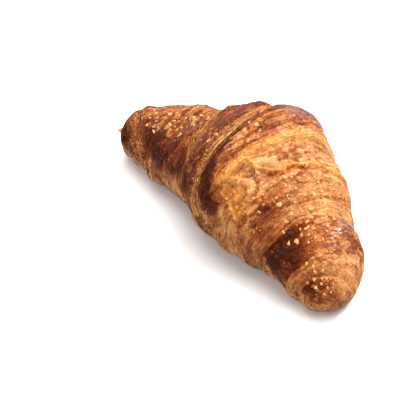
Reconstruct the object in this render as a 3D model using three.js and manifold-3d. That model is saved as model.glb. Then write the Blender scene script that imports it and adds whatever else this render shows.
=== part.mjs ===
// A sugared croissant, rolled from a long triangle of laminated dough.
// The middle is the thickest, and each turn of the roll steps down towards the two tips.
// Millimetres. The body lies along X, its outer curve faces +Y, and it rests on z = 0.

import * as THREE from "three";
import Module from "manifold-3d";
import { mergeVertices } from "three/addons/utils/BufferGeometryUtils.js";

const wasm = await Module();
wasm.setup();

// Driving sizes
const length = 160; // tip to tip, along the straight line between the tips
const bow = 15.4; // how far the middle lies outside that line
const bowPower = 1.8; // 2 is an even curve, lower values bend more at the middle
const bowSoftness = 0.18; // rounds the bend at the middle
const heightShare = 0.81; // height of a section over its width
const restShare = 0.94; // height of a section's centre over its half height, under 1 for a flat base
const tipRoundings = [0.052, 0.075]; // share of the length over which each tip closes
const centreShift = [0.36, -16.17]; // puts the middle of the outer box on the origin

// Half width of the body at shares of its length
const halfWidths = [
  [0.05, 17],
  [0.2, 23.2],
  [0.35, 30.4],
  [0.5, 38.8],
  [0.65, 34],
  [0.8, 25],
  [0.95, 15.6],
];

// The six seams between the turns of dough, from the first tip to the second.
// line: [angle, share] along the crease, round the body. edge: width of the cut edge.
// drop: depth of the crease. lift: height of the shoulder.
const seams = [
  {
    line: [[40, 0.165], [80, 0.16], [106, 0.142], [122, 0.121], [140, 0.094], [160, 0.064],
      [180, 0.042], [200, 0.027], [250, 0.014]],
    edge: 3.5, drop: 0.9, lift: 1.2,
  },
  {
    line: [[40, 0.43], [80, 0.425], [100, 0.413], [120, 0.395], [140, 0.373], [160, 0.347],
      [180, 0.325], [200, 0.303], [250, 0.265]],
    edge: 4.5, drop: 1.8, lift: 1.4,
  },
  {
    line: [[40, 0.58], [70, 0.578], [85, 0.56], [100, 0.527], [120, 0.5], [140, 0.484],
      [160, 0.48], [180, 0.474], [200, 0.459], [220, 0.441], [260, 0.415]],
    edge: 5, drop: 1.4, lift: 2.2,
  },
  {
    line: [[40, 0.6], [70, 0.6], [85, 0.608], [100, 0.622], [115, 0.628], [130, 0.616],
      [150, 0.609], [175, 0.612], [210, 0.616], [260, 0.61]],
    edge: 4.5, drop: 0.8, lift: 2,
  },
  {
    line: [[40, 0.765], [94, 0.787], [116, 0.797], [134, 0.796], [156, 0.793], [173, 0.794],
      [190, 0.797], [213, 0.805], [260, 0.808]],
    edge: 5.6, drop: 1.8, lift: 2,
  },
  {
    line: [[40, 0.915], [100, 0.926], [128, 0.931], [152, 0.943], [177, 0.956], [209, 0.976],
      [260, 0.982]],
    edge: 3.6, drop: 2, lift: 1.8,
  },
];
const tipLift = 0.8; // how full the two tips stand
const crownDome = 0.8; // extra height in the middle of the widest turn

// The point of the triangle ends the last turn low on the inner side, where two seams meet
const pointAt = 72; // degrees round the body
const pointSpan = 46; // degrees over which the last turn thins to it
const joinedHeight = 0.6; // height of the turn below, where the last one has ended

// The glazed skin of the fifth turn has torn along a line, and stands a little proud of it
const tornLine = [
  [112, 0.7],
  [133, 0.61],
  [156, 0.645],
  [184, 0.672],
  [246, 0.729],
];
const tornStep = 0.9; // height of the skin's edge
const tornWidth = 0.016; // share of the length over which it rises
const tornEnds = [100, 262]; // degrees where the tear has closed

const baseAngle = 20; // degrees where the base begins
const baseFade = 30; // degrees over which the relief grows above it
const baseRelief = 0.45; // share of the relief that the base keeps

// Where the baked dough has swollen or sunk. along, round and rise: mm.
const swells = [
  { at: 0.017, angle: 130, along: 4, round: 8, rise: 0.6 },
  { at: 0.045, angle: 205, along: 5, round: 9, rise: -1.2 },
  { at: 0.05, angle: 80, along: 6, round: 8, rise: -3 },
  { at: 0.085, angle: 219, along: 6, round: 8, rise: -1.6 },
  { at: 0.38, angle: 216, along: 9, round: 10, rise: 2.2 },
  { at: 0.45, angle: 74, along: 8, round: 12, rise: -3.4 },
  { at: 0.51, angle: 74, along: 6, round: 8, rise: -1.8 },
  { at: 0.47, angle: 226, along: 5, round: 10, rise: -1.6 },
  { at: 0.565, angle: 248, along: 9, round: 12, rise: -3.4 },
  { at: 0.65, angle: 60, along: 7, round: 11, rise: 1.4 },
  { at: 0.765, angle: 259, along: 9, round: 13, rise: -3 },
  { at: 0.85, angle: 56, along: 7, round: 10, rise: -3.4 },
  { at: 0.875, angle: 252, along: 7, round: 9, rise: 1.3 },
  { at: 0.97, angle: 295, along: 6, round: 8, rise: -2.2 },
];

// Baked sugar lies in loose clusters. at and angle: the middle. spread: mm. count: grains.
const sugarClusters = [
  { at: 0.1, angle: 165, spread: 4, count: 5 },
  { at: 0.17, angle: 162, spread: 6, count: 9 },
  { at: 0.235, angle: 158, spread: 6, count: 10 },
  { at: 0.28, angle: 176, spread: 4, count: 5 },
  { at: 0.4, angle: 152, spread: 6, count: 8 },
  { at: 0.535, angle: 170, spread: 6, count: 5 },
  { at: 0.725, angle: 190, spread: 6, count: 12 },
  { at: 0.73, angle: 165, spread: 5, count: 6 },
  { at: 0.72, angle: 138, spread: 3, count: 3 },
  { at: 0.825, angle: 158, spread: 6, count: 12 },
  { at: 0.835, angle: 188, spread: 7, count: 12 },
  { at: 0.955, angle: 146, spread: 5, count: 14 },
];
const grainSize = [0.8, 1.5]; // radius in mm, before it is squashed
const grainSunk = 0.3; // share of its radius that a grain sits in the dough
const grainGap = 0.4; // least room between two grains, in mm

// A scrap of dough that sticks out of the first tip
const scrap = { share: 0.016, angle: 125, wide: 1.9, thick: 1, reach: 2.6, sunk: 0.4 };

// Mesh: steps around, and rings in the tips, crowns and cut edges
const aroundSteps = 62;
const crownRings = [7, 10, 6, 7, 9, 8, 7];
const edgeRings = 3;

const degree = Math.PI / 180;
const { clamp, lerp, smoothstep } = THREE.MathUtils;

// A smooth curve through [position, value] pairs
function throughPairs(pairs, x) {
  const last = pairs.length - 1;
  const at = clamp(x, pairs[0][0], pairs[last][0]);
  let i = 0;
  while (i < last - 1 && at > pairs[i + 1][0]) i += 1;
  const slope = (k) => {
    const [xa, ya] = pairs[Math.max(k - 1, 0)];
    const [xb, yb] = pairs[Math.min(k + 1, last)];
    return (yb - ya) / (xb - xa);
  };
  const [x0, y0] = pairs[i];
  const [x1, y1] = pairs[i + 1];
  const t = (at - x0) / (x1 - x0);
  const start = y0 + t * (x1 - x0) * slope(i);
  const end = y1 - (1 - t) * (x1 - x0) * slope(i + 1);
  return lerp(start, end, t * t * (3 - 2 * t));
}

// The bent middle line at a share of the length, and its sideways direction
function middleLine(share) {
  const bend = (u) =>
    (u * u + bowSoftness ** 2) ** (bowPower / 2) - bowSoftness ** bowPower;
  const sideways = (s) => bow * (1 - bend(2 * s - 1) / bend(1));
  const reach = 0.001;
  const rise = (sideways(share + reach) - sideways(share - reach)) / (2 * reach * length);
  const size = Math.hypot(1, rise);
  return {
    x: (share - 0.5) * length + centreShift[0],
    y: sideways(share) + centreShift[1],
    outX: -rise / size,
    outY: 1 / size,
  };
}

// Angles run round a section from the base, 0, over the inner side, 90, and the top, 180
const reliefShare = (angle) => {
  const above = Math.min(angle, 360 - angle);
  return lerp(baseRelief, 1, smoothstep(above, baseAngle, baseAngle + baseFade));
};

// How much of the last turn is there at an angle: 1 over the crown, 0 past its point
const lastTurnThere = (angle) => smoothstep(angle, pointAt, pointAt + pointSpan);

const seamShares = (angle) => seams.map(({ line }) => throughPairs(line, angle));

// The stretches along the body at an angle: tips, crowns and cut edges, in order.
// Each has its start and end share, its rings, and its height in mm at t from 0 to 1.
function stretches(angle) {
  const shares = seamShares(angle);
  const there = lastTurnThere(angle);
  const low = seams.map(({ drop }) => -drop);
  const high = seams.map(({ lift }) => lift);
  for (const k of [2, 3]) {
    low[k] = lerp(joinedHeight, low[k], there);
    high[k] = lerp(joinedHeight, high[k], there);
  }
  const edges = seams.map(({ edge }) => edge / length);
  edges[2] = Math.min(edges[2], (shares[3] - shares[2]) * 0.35);
  edges[3] = edges[2];
  const slope = (start, end) => (t) => start + (end - start) * t ** 2.6;
  const cutEdge = (start, end) => (t) => lerp(start, end, Math.sin((t * Math.PI) / 2));
  const turned = (height) => (t) => height(1 - t);
  const dome = (t) => lerp(high[2], high[3], t) + crownDome * there * Math.sin(t * Math.PI);
  const crowns = [
    slope(tipLift, low[0]),
    slope(high[0], low[1]),
    slope(high[1], low[2]),
    dome,
    turned(slope(high[4], low[3])),
    turned(slope(high[5], low[4])),
    turned(slope(tipLift, low[5])),
  ];
  const list = [];
  let from = 0;
  crowns.forEach((height, k) => {
    const last = k === seams.length;
    const to = last ? 1 : shares[k] - (k < 3 ? 0 : edges[k]);
    list.push({ from, to, rings: crownRings[k], height });
    if (last) return;
    const edge = cutEdge(low[k], high[k]);
    from = to + edges[k];
    list.push({ from: to, to: from, rings: edgeRings, height: k < 3 ? edge : turned(edge) });
  });
  return list;
}

// The step where the torn skin begins, fading out before the seam beyond it
function tornSkin(share, angle) {
  const beyond = share - throughPairs(tornLine, angle);
  const end = seamShares(angle)[4] - seams[4].edge / length;
  const room = end - throughPairs(tornLine, angle);
  const open = smoothstep(angle, tornEnds[0], tornEnds[0] + 14) *
    (1 - smoothstep(angle, tornEnds[1] - 20, tornEnds[1]));
  const fall = 1 - smoothstep(beyond, 0.4 * room, room);
  return tornStep * open * smoothstep(beyond, 0, tornWidth) * fall;
}

// Soft unevenness of the baked dough, in mm
function lumps(share, angle) {
  const a = angle * degree;
  return (
    0.55 * Math.sin(19 * share + 2 * a + 2.6) +
    0.4 * Math.sin(41 * share - 3 * a + 3.6) +
    0.3 * Math.sin(67 * share + 4 * a + 4.0)
  );
}

// The height of all swells at a share and angle
function swelling(share, angle) {
  const across = throughPairs(halfWidths, share) * degree;
  return swells.reduce((total, swell) => {
    const along = ((share - swell.at) * length) / swell.along;
    const round = ((angle - swell.angle) * across) / swell.round;
    return total + swell.rise * Math.exp(-(along ** 2) - round ** 2);
  }, 0);
}

// A point of the surface, at a share of the length, an angle, and its turn's height there
function surfacePoint(share, angle, height) {
  const line = middleLine(share);
  const fromTip = Math.min(share / tipRoundings[0], (1 - share) / tipRoundings[1]);
  const closing = fromTip < 1 ? Math.sqrt(Math.max(0, 1 - (1 - fromTip) ** 2)) : 1;
  const halfWidth = throughPairs(halfWidths, share);
  const halfHeight = halfWidth * heightShare;
  const raised = height + lumps(share, angle) + tornSkin(share, angle) + swelling(share, angle);
  const relief = closing * reliefShare(angle) * raised;
  const out = Math.sin(angle * degree) * (halfWidth * closing + relief);
  const up = -Math.cos(angle * degree) * (halfHeight * closing + relief);
  return new THREE.Vector3(
    line.x - line.outX * out,
    line.y - line.outY * out,
    halfHeight * restShare + up,
  );
}

// The share and height of one ring of the mesh at an angle
function ringPlace(ring, angle) {
  let left = ring;
  for (const { from, to, rings, height } of stretches(angle)) {
    if (left <= rings) {
      const t = left / rings;
      return [lerp(from, to, t), height(t)];
    }
    left -= rings;
  }
  return [1, 0];
}

// A three.js geometry as a manifold-3d solid
function solidOf(geometry) {
  geometry.deleteAttribute("normal");
  geometry.deleteAttribute("uv");
  const merged = mergeVertices(geometry, 1e-4);
  const vertProperties = new Float32Array(merged.attributes.position.array);
  const triVerts = new Uint32Array(merged.index.array);
  return new wasm.Manifold(new wasm.Mesh({ numProp: 3, vertProperties, triVerts }));
}

// A manifold-3d solid as a three.js geometry
function geometryOf(solid) {
  const { vertProperties, triVerts } = solid.getMesh();
  const geometry = new THREE.BufferGeometry();
  geometry.setAttribute("position", new THREE.BufferAttribute(vertProperties, 3));
  geometry.setIndex(new THREE.BufferAttribute(triVerts, 1));
  geometry.computeVertexNormals();
  return geometry;
}

// The dough: a sphere's rings and steps, laid along the body
function doughSolid() {
  const rings = crownRings.reduce((a, b) => a + b) + seams.length * edgeRings;
  const sphere = new THREE.SphereGeometry(1, aroundSteps, rings);
  const place = sphere.attributes.position;
  for (let ring = 0; ring <= rings; ring += 1) {
    for (let step = 0; step <= aroundSteps; step += 1) {
      const angle = ((step % aroundSteps) * 360) / aroundSteps;
      const [share, height] = ringPlace(ring, angle);
      const at = surfacePoint(share, angle, height);
      const index = ring * (aroundSteps + 1) + step;
      place.setXYZ(index, at.x, at.y, at.z);
    }
  }
  return solidOf(sphere);
}

// Everything above the surface it rests on
function aboveTheBase() {
  const size = 2 * length;
  const box = new THREE.BoxGeometry(size, size, length);
  box.translate(0, 0, length / 2);
  return solidOf(box);
}

// The plain surface at a share and angle, with its turn's height found from the stretches
function onTheSurface(share, angle) {
  const list = stretches(angle);
  const { from, to, height } = list.find((stretch) => share <= stretch.to) ?? list.at(-1);
  return surfacePoint(share, angle, height((share - from) / (to - from)));
}

// A place on the surface with the direction that points out of it there
function placeOnDough(share, angle) {
  const at = onTheSurface(share, angle);
  const along = onTheSurface(share + 0.006, angle).sub(onTheSurface(share - 0.006, angle));
  const round = onTheSurface(share, angle + 3).sub(onTheSurface(share, angle - 3));
  return { at, out: new THREE.Vector3().crossVectors(along, round).normalize().negate() };
}

// The same numbers from 0 to 1 on every run
function numberStream(seed) {
  let state = seed;
  return () => {
    state = (state * 16807) % 2147483647;
    return state / 2147483647;
  };
}

// One small solid, pressed into the dough
function pressedIn({ at, out }, sizes, turn, sunk) {
  const grain = new THREE.IcosahedronGeometry(1, 0);
  const toOut = new THREE.Quaternion().setFromUnitVectors(new THREE.Vector3(0, 0, 1), out);
  const spin = new THREE.Quaternion().setFromAxisAngle(new THREE.Vector3(0, 0, 1), turn);
  const middle = at.clone().addScaledVector(out, sunk);
  const size = new THREE.Vector3(...sizes);
  grain.applyMatrix4(new THREE.Matrix4().compose(middle, toOut.multiply(spin), size));
  return solidOf(grain);
}

// The sugar grains of every cluster, spread unevenly round its middle
function sugarSolids() {
  const draw = numberStream(7);
  const placed = [];
  for (const { at, angle, spread, count } of sugarClusters) {
    for (let made = 0, tries = 0; made < count && tries < 20 * count; tries += 1) {
      const away = spread * Math.sqrt(draw()) * 1.3;
      const towards = draw() * 2 * Math.PI;
      const size = lerp(grainSize[0], grainSize[1], draw() ** 2);
      const turn = draw() * Math.PI;
      const share = at + (away * Math.cos(towards)) / length;
      const across = throughPairs(halfWidths, share) * degree;
      const place = placeOnDough(share, angle + (away * Math.sin(towards)) / across);
      const clear = placed.every(
        (other) => other.place.at.distanceTo(place.at) > other.size + size + grainGap,
      );
      if (!clear) continue;
      placed.push({ place, size, turn });
      made += 1;
    }
  }
  return placed.map(({ place, size, turn }) =>
    pressedIn(place, [size, size * 0.8, size * 0.75], turn, size * (0.75 - grainSunk)),
  );
}

// The scrap at the first tip stands on the surface
function scrapSolid() {
  const { share, angle, wide, thick, reach, sunk } = scrap;
  return pressedIn(placeOnDough(share, angle), [wide, thick, reach], 0, reach * sunk);
}

function croissantSolid() {
  let whole = doughSolid().add(scrapSolid());
  for (const grain of sugarSolids()) whole = whole.add(grain);
  return whole.intersect(aboveTheBase());
}

const croissant = new THREE.Mesh(
  geometryOf(croissantSolid()),
  new THREE.MeshStandardMaterial({ color: 0xb8692a, roughness: 0.55, metalness: 0 }),
);
croissant.name = "croissant";

const group = new THREE.Group();
group.add(croissant);

export default group;
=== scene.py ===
# A sugared croissant on a plain pale floor.
# The dough is laid ring by ring from the same named sizes as its solid, and then gets the finer relief:
# layered cut edges, a torn blister, bubbles and crackled crust. Baked sugar and flakes lie on it.
import math

import bmesh
import bpy
import numpy as np
from mathutils import Matrix, Quaternion, Vector, noise
from mathutils.bvhtree import BVHTree


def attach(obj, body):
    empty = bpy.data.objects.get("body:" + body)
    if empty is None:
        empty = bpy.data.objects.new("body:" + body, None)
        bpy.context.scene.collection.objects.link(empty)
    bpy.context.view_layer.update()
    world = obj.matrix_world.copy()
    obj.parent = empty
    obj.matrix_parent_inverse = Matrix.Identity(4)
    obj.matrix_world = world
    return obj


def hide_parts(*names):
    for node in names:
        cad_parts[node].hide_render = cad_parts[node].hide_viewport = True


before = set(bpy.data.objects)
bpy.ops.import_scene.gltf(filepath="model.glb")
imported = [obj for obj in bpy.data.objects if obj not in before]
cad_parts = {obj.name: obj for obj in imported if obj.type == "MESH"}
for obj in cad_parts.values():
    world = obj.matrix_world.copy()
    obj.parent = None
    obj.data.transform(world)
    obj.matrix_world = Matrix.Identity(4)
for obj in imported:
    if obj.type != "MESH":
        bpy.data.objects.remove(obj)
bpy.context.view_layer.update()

scene = bpy.context.scene
mm = 0.001


def rows(names, *values):
    # A dictionary for each row of values, under the same names
    return tuple(dict(zip(names.split(), row)) for row in values)


# Lengths in mm, shares of the length from the first tip, and degrees round the body:
# 0 at the base, 90 on the inner side, 180 on the top, 270 on the outer side
form = {
    "length": 160,
    "bow": 15.4,
    "bowPower": 1.8,
    "bowSoftness": 0.18,
    "heightShare": 0.81,
    "restShare": 0.94,
    "tipRoundings": (0.052, 0.075),
    "centreShift": (0.36, -16.17),
    "halfWidths": (
        (0.05, 17), (0.2, 23.2), (0.35, 30.4), (0.5, 38.8), (0.65, 34), (0.8, 25), (0.95, 15.6),
    ),
    "tipLift": 0.8,
    "crownDome": 0.8,
    "pointAt": 72,
    "pointSpan": 46,
    "joinedHeight": 0.6,
    "tornLine": ((112, 0.7), (133, 0.61), (156, 0.645), (184, 0.672), (246, 0.729)),
    "tornStep": 0.9,
    "tornWidth": 0.016,
    "tornEnds": (100, 262),
    "baseAngle": 20,
    "baseFade": 30,
    "baseRelief": 0.45,
    "swells": rows(
        "at angle along round rise",
        (0.017, 130, 4, 8, 0.6),
        (0.045, 205, 5, 9, -1.2),
        (0.05, 80, 6, 8, -3),
        (0.085, 219, 6, 8, -1.6),
        (0.38, 216, 9, 10, 2.2),
        (0.45, 74, 8, 12, -3.4),
        (0.51, 74, 6, 8, -1.8),
        (0.47, 226, 5, 10, -1.6),
        (0.565, 248, 9, 12, -3.4),
        (0.65, 60, 7, 11, 1.4),
        (0.765, 259, 9, 13, -3),
        (0.85, 56, 7, 10, -3.4),
        (0.875, 252, 7, 9, 1.3),
        (0.97, 295, 6, 8, -2.2),
    ),
    "steps": 250,
    "closerSteps": {"angles": (50, 222), "soft": 16, "share": 1.6},
    "crownRings": (26, 56, 44, 36, 52, 46, 34),
    "edgeRings": 16,
    "edgeRoom": 0.35,
    "crownPower": 2.6,
    "streakRadius": 30,
    "roundShare": 0.93,
}

# line: (angle, share) along the crease, edge: width of the cut edge, drop: depth of the crease,
# lift: height of the shoulder, band: how far the layers show outside the crease,
# bare: how much they lack the glaze, tone: their baking on the inner side and on the top,
# from: the angle where they come out from under the skin
seams = (
    {
        "line": ((40, 0.165), (80, 0.16), (106, 0.142), (122, 0.121), (140, 0.094), (160, 0.064),
                 (180, 0.042), (200, 0.027), (250, 0.014)),
        "edge": 3.5, "drop": 0.9, "lift": 1.2, "band": 8, "bare": 0.8, "tone": (0.62, 0.66),
    },
    {
        "line": ((40, 0.43), (80, 0.425), (100, 0.413), (120, 0.395), (140, 0.373), (160, 0.347),
                 (180, 0.325), (200, 0.303), (250, 0.265)),
        "edge": 4.5, "drop": 1.8, "lift": 1.4, "band": 5, "bare": 0.9, "tone": (0.62, 0.54),
    },
    {
        "line": ((40, 0.58), (70, 0.578), (85, 0.56), (100, 0.527), (120, 0.5), (140, 0.484),
                 (160, 0.48), (180, 0.474), (200, 0.459), (220, 0.441), (260, 0.415)),
        "edge": 5, "drop": 1.4, "lift": 2.2, "band": 7, "bare": 0.85, "tone": (0.64, 0.68),
    },
    {
        "line": ((40, 0.6), (70, 0.6), (85, 0.608), (100, 0.622), (115, 0.628), (130, 0.616),
                 (150, 0.609), (175, 0.612), (210, 0.616), (260, 0.61)),
        "edge": 4.5, "drop": 0.8, "lift": 2, "band": 0.6, "bare": 0, "tone": (0.36, 0.34), "from": 128,
    },
    {
        "line": ((40, 0.765), (94, 0.787), (116, 0.797), (134, 0.796), (156, 0.793), (173, 0.794),
                 (190, 0.797), (213, 0.805), (260, 0.808)),
        "edge": 5.6, "drop": 1.8, "lift": 2, "band": 1, "bare": 0.05, "tone": (0.62, 0.33),
    },
    {
        "line": ((40, 0.915), (100, 0.926), (128, 0.931), (152, 0.943), (177, 0.956), (209, 0.976),
                 (260, 0.982)),
        "edge": 3.6, "drop": 2, "lift": 1.8, "band": 0.6, "bare": 0.15, "tone": (0.44, 0.34),
    },
)


def clampedStep(x, low, high):
    # 0 below low, 1 above high, smooth between
    t = np.clip((x - low) / (high - low), 0, 1)
    return t * t * (3 - 2 * t)


def blendTo(start, end, t):
    return start + (end - start) * t


def throughPairs(pairs, x):
    # A smooth curve through (position, value) pairs
    places, values = np.array(pairs, float).T
    last = len(places) - 1
    before = np.maximum(np.arange(last + 1) - 1, 0)
    after = np.minimum(np.arange(last + 1) + 1, last)
    slopes = (values[after] - values[before]) / (places[after] - places[before])
    at = np.clip(x, places[0], places[-1])
    i = np.clip(np.searchsorted(places, at) - 1, 0, last - 1)
    span = places[i + 1] - places[i]
    t = (at - places[i]) / span
    start = values[i] + t * span * slopes[i]
    end = values[i + 1] - (1 - t) * span * slopes[i + 1]
    return blendTo(start, end, t * t * (3 - 2 * t))


def mmPerDegree(share):
    # Over the surface, round the body
    return throughPairs(form["halfWidths"], share) * math.pi / 180


def middleLine(share):
    # The bent middle line, and its sideways direction
    soft, power = form["bowSoftness"], form["bowPower"]

    def bend(u):
        return (u * u + soft**2) ** (power / 2) - soft**power

    def sideways(s):
        return form["bow"] * (1 - bend(2 * s - 1) / bend(1))

    reach = 0.001
    rise = (sideways(share + reach) - sideways(share - reach)) / (2 * reach * form["length"])
    size = np.hypot(1, rise)
    x = (share - 0.5) * form["length"] + form["centreShift"][0]
    y = sideways(share) + form["centreShift"][1]
    return x, y, -rise / size, 1 / size


def reliefShare(angle):
    above = np.minimum(angle, 360 - angle)
    low = form["baseAngle"]
    return blendTo(form["baseRelief"], 1, clampedStep(above, low, low + form["baseFade"]))


def lastTurnThere(angle):
    return clampedStep(angle, form["pointAt"], form["pointAt"] + form["pointSpan"])


def seamShares(angle):
    return [throughPairs(seam["line"], angle) for seam in seams]


def stretches(angle):
    # The stretches along the body: tips, crowns and cut edges, in order, with their heights
    shares = seamShares(angle)
    there = lastTurnThere(angle)
    low = [-seam["drop"] for seam in seams]
    high = [seam["lift"] for seam in seams]
    for k in (2, 3):
        low[k] = blendTo(form["joinedHeight"], low[k], there)
        high[k] = blendTo(form["joinedHeight"], high[k], there)
    edges = [seam["edge"] / form["length"] for seam in seams]
    edges[2] = np.minimum(edges[2], (shares[3] - shares[2]) * form["edgeRoom"])
    edges[3] = edges[2]

    def slope(start, end):
        return lambda t: start + (end - start) * t ** form["crownPower"]

    def cutEdge(start, end):
        return lambda t: blendTo(start, end, np.sin(t * math.pi / 2))

    def turned(height):
        return lambda t: height(1 - t)

    def dome(t):
        return blendTo(high[2], high[3], t) + form["crownDome"] * there * np.sin(t * math.pi)

    crowns = (
        slope(form["tipLift"], low[0]),
        slope(high[0], low[1]),
        slope(high[1], low[2]),
        dome,
        turned(slope(high[4], low[3])),
        turned(slope(high[5], low[4])),
        turned(slope(form["tipLift"], low[5])),
    )
    made = []
    start = np.zeros_like(angle)
    for k, height in enumerate(crowns):
        if k == len(seams):
            made.append((start, np.ones_like(angle), form["crownRings"][k], height))
            break
        end = shares[k] if k < 3 else shares[k] - edges[k]
        made.append((start, end, form["crownRings"][k], height))
        edge = cutEdge(low[k], high[k])
        start = end + edges[k]
        made.append((end, start, form["edgeRings"], edge if k < 3 else turned(edge)))
    return made


def tornSkin(share, angle):
    # The step where the glazed skin has torn, which fades out before the seam beyond it
    line = throughPairs(form["tornLine"], angle)
    beyond = share - line
    room = seamShares(angle)[4] - seams[4]["edge"] / form["length"] - line
    first, last = form["tornEnds"]
    there = clampedStep(angle, first, first + 14) * (1 - clampedStep(angle, last - 20, last))
    fall = 1 - clampedStep(beyond, 0.4 * room, room)
    return form["tornStep"] * there * clampedStep(beyond, 0, form["tornWidth"]) * fall


def lumps(share, angle):
    a = np.radians(angle)
    return (
        0.55 * np.sin(19 * share + 2 * a + 2.6)
        + 0.4 * np.sin(41 * share - 3 * a + 3.6)
        + 0.3 * np.sin(67 * share + 4 * a + 4.0)
    )


def swelling(share, angle):
    # Where the baked dough has swollen or sunk
    across = mmPerDegree(share)
    total = 0
    for swell in form["swells"]:
        along = (share - swell["at"]) * form["length"] / swell["along"]
        around = (angle - swell["angle"]) * across / swell["round"]
        total = total + swell["rise"] * np.exp(-(along**2) - around**2)
    return total


def surfacePoint(share, angle, height):
    # Points in mm, from the share of the length, the angle and the height of the relief
    x, y, outX, outY = middleLine(share)
    first, second = form["tipRoundings"]
    fromTip = np.minimum(share / first, (1 - share) / second)
    closing = np.sqrt(np.clip(1 - (1 - np.minimum(fromTip, 1)) ** 2, 0, 1))
    halfWidth = throughPairs(form["halfWidths"], share)
    halfHeight = halfWidth * form["heightShare"]
    raised = height + lumps(share, angle) + tornSkin(share, angle) + swelling(share, angle)
    relief = closing * reliefShare(angle) * raised
    a = np.radians(angle)
    out = np.sin(a) * (halfWidth * closing + relief)
    up = -np.cos(a) * (halfHeight * closing + relief)
    z = halfHeight * form["restShare"] + up
    return np.stack((x - outX * out, y - outY * out, z), axis=-1)


def stepAngles():
    # The steps round the body, closer where the finest relief is
    closer = form["closerSteps"]
    soft = closer["soft"]
    first, last = closer["angles"]
    degree = np.arange(3601) / 10
    inside = clampedStep(degree, first, first + soft) * (1 - clampedStep(degree, last - soft, last))
    total = np.cumsum(1 + closer["share"] * inside)
    total = (total - total[0]) / (total[-1] - total[0])
    return np.interp(np.arange(form["steps"]) / form["steps"], total, degree)


def layRings():
    # Share, angle and plain height of every ring and step
    angle = stepAngles()
    shares, heights = [], []
    made = stretches(angle)
    for k, (start, end, rings, height) in enumerate(made):
        count = rings + 1 if k == len(made) - 1 else rings
        t = (np.arange(count) / rings)[:, None]
        if k in (2, 4):
            t = t + 0.4 * t * (1 - t)  # closer rings towards the crease
        shares.append(blendTo(start, end, t))
        heights.append(height(t) + 0 * start)
    share = np.concatenate(shares)
    return share, np.broadcast_to(angle, share.shape).copy(), np.concatenate(heights)


def turnPlaceOf(share, angle):
    # Places in mm along the body and round a plain tube, for streaks that run with the turns
    a, radius = np.radians(angle), form["streakRadius"]
    return np.stack((share * form["length"], radius * np.cos(a), radius * np.sin(a)), axis=-1)


def noiseAt(places, size, octaves, seed):
    # Smooth noise, about -1 to 1, at places in mm: size is that of its largest features
    spots = places.reshape(-1, 3) / np.array(size, float) + seed
    values = [noise.fractal(spot, 1.0, 2.0, octaves) for spot in spots.tolist()]
    return np.array(values).reshape(places.shape[:-1])


def cellsAt(places, size, seed):
    # Distance to the nearest of scattered points, over their spacing
    spots = places.reshape(-1, 3) / size + seed
    values = [noise.voronoi(spot)[0][0] for spot in spots.tolist()]
    return np.array(values).reshape(places.shape[:-1])


def strokeDistance(points, share, angle):
    # Distance in mm, over the surface, to a line of (share, angle) points
    across = mmPerDegree(share) * form["roundShare"]
    nearest = np.full(share.shape, 1e6)
    for (s0, a0), (s1, a1) in zip(points, points[1:]):
        x, y = (share - s0) * form["length"], (angle - a0) * across
        dx, dy = (s1 - s0) * form["length"], (a1 - a0) * across
        t = np.clip((x * dx + y * dy) / (dx * dx + dy * dy + 1e-9), 0, 1)
        nearest = np.minimum(nearest, np.hypot(x - t * dx, y - t * dy))
    return nearest


def strokeMask(points, width, soft, share, angle, uneven):
    # 1 within the width of a line, 0 past its soft rim
    return 1 - clampedStep(strokeDistance(points, share, angle) + uneven, width, width + soft)


# The fine relief, in mm. bandWander: how far the layers' edges wander, and the share of their widths.
# wallFrom: where a cut edge's wall begins. comesOut: the degrees over which layers leave the skin.
relief = {
    "bandWander": (0.8, 0.3),
    "wallFrom": (-2.5, -0.5),
    "comesOut": 14,
    "edgeStep": 0.26,
    "bandStep": 0.15,
    "edgeFade": 1.2,
    "layerPitch": 1.2,
    "wrap": 0.2,
    "crust": 0.3,
    "crackle": 0.2,
    "wrinkle": 0.42,
    "bubble": 1.5,
    "rim": 1.6,
    "flap": 1.0,
    "fold": 0.5,
    "hollow": 2.0,
    "crease": 0.6,
    "ledgeLip": 0.9,
    "goldenEdge": 0.35,
    "paleMark": 0.35,
}

# Noises over the body and along its turns: size of the largest features in mm, octaves and seed
bodyNoises = ((14, 3, 3.1), (5, 4, 7.7), (2.1, 3, 11.3))
turnNoises = (((6, 13, 13), 3, 15.9), ((2.6, 34, 34), 3, 5.5), ((1.3, 14, 14), 3, 9.5))
bubbleCells = (3.4, 2.2)  # size in mm and seed

# The blister where the glazed skin has lifted and torn: its rims, folds and hollows
blister = {
    "rims": (
        ((0.603, 156), (0.6, 146), (0.602, 139), (0.607, 132), (0.617, 122), (0.634, 121), (0.66, 121),
         (0.682, 120), (0.712, 117)),
        ((0.686, 141), (0.692, 136), (0.697, 131), (0.711, 119)),
        ((0.602, 150), (0.625, 157), (0.648, 155)),
    ),
    "flap": ((0.61, 135), (0.627, 139), (0.652, 144), (0.672, 146), (0.682, 143)),
    "floor": ((0.623, 128), (0.638, 131), (0.656, 136)),
    "valley": ((0.68, 138), (0.69, 132), (0.701, 122)),
    "fold": ((0.65, 128), (0.675, 126), (0.7, 121)),
    "crease": ((0.652, 152), (0.684, 149), (0.699, 143), (0.703, 138)),
}
ledgeLine = (
    (0.63, 155), (0.652, 160), (0.668, 164), (0.679, 171), (0.678, 182), (0.687, 190), (0.692, 200),
    (0.7, 212), (0.706, 228), (0.709, 250),
)
bubbleLine = ((0.63, 160), (0.64, 168), (0.642, 180), (0.655, 196), (0.668, 212))

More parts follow.
